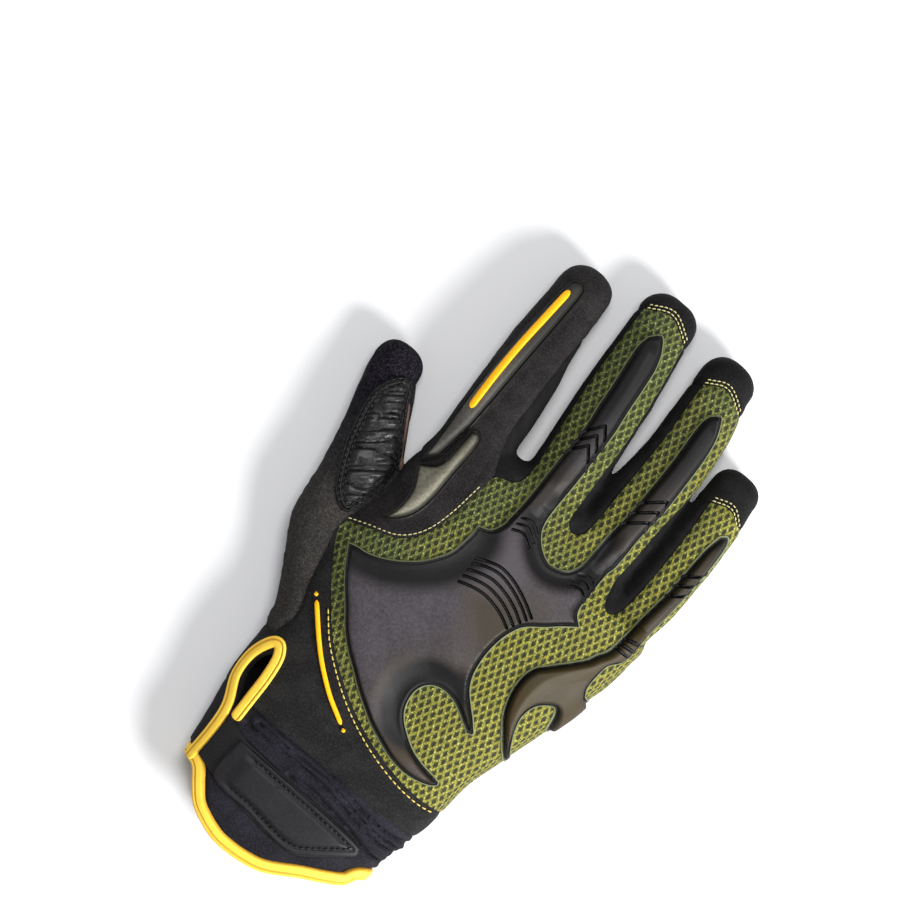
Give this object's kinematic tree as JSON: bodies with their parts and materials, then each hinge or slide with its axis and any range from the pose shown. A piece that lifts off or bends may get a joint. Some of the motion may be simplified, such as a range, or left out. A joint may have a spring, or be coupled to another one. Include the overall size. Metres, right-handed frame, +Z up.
{
  "type": "impact work glove",
  "caption": "Right-hand impact work glove lying palm down, with rubber guards on a yellow-green mesh back and a yellow-bound cuff.",
  "frame": {"origin": "under the middle of the whole glove, on the surface it lies on", "axes": "+X towards the little finger, +Y towards the fingertips, +Z up out of the back of the hand"},
  "size_m": [0.1514, 0.2698, 0.037],
  "materials": {
    "mesh": "spacer mesh with small holes",
    "fingertip_cap": "black knit, double stitched",
    "foamed_fabric": "smooth neoprene-backed knit",
    "gathered_cuff": "neoprene in soft gathers",
    "terry": "looped terry",
    "suede": "napped synthetic suede",
    "leather": "smooth, glossy, wrinkled",
    "rubber": "satin moulded rubber",
    "yellow_rubber": "satin moulded rubber",
    "yellow_tape": "woven bias tape",
    "webbing": "ribbed webbing"
  },
  "bodies": {
    "root": {"back_mesh": "mesh", "middle_tip": "fingertip_cap", "ring_tip": "fingertip_cap", "little_tip": "fingertip_cap", "index_back": "foamed_fabric", "wrist_back": "foamed_fabric", "cuff": "gathered_cuff", "thumb_back": "terry", "palm_panel": "suede", "thumb_front": "suede", "fourchette_index_middle": "suede", "fourchette_middle_ring": "suede", "fourchette_ring_little": "suede", "thumb_patch": "leather", "palm_patch": "leather", "middle_grip": "leather", "ring_grip": "leather", "knuckle_guard": "rubber", "outer_guard": "rubber", "index_guard": "rubber", "index_base_guard": "rubber", "strap_tab": "rubber", "wrist_bar": "yellow_rubber", "index_bar": "yellow_rubber", "hem_binding": "yellow_tape", "slit_binding": "yellow_tape", "strap": "webbing"}
  },
  "joints": []
}
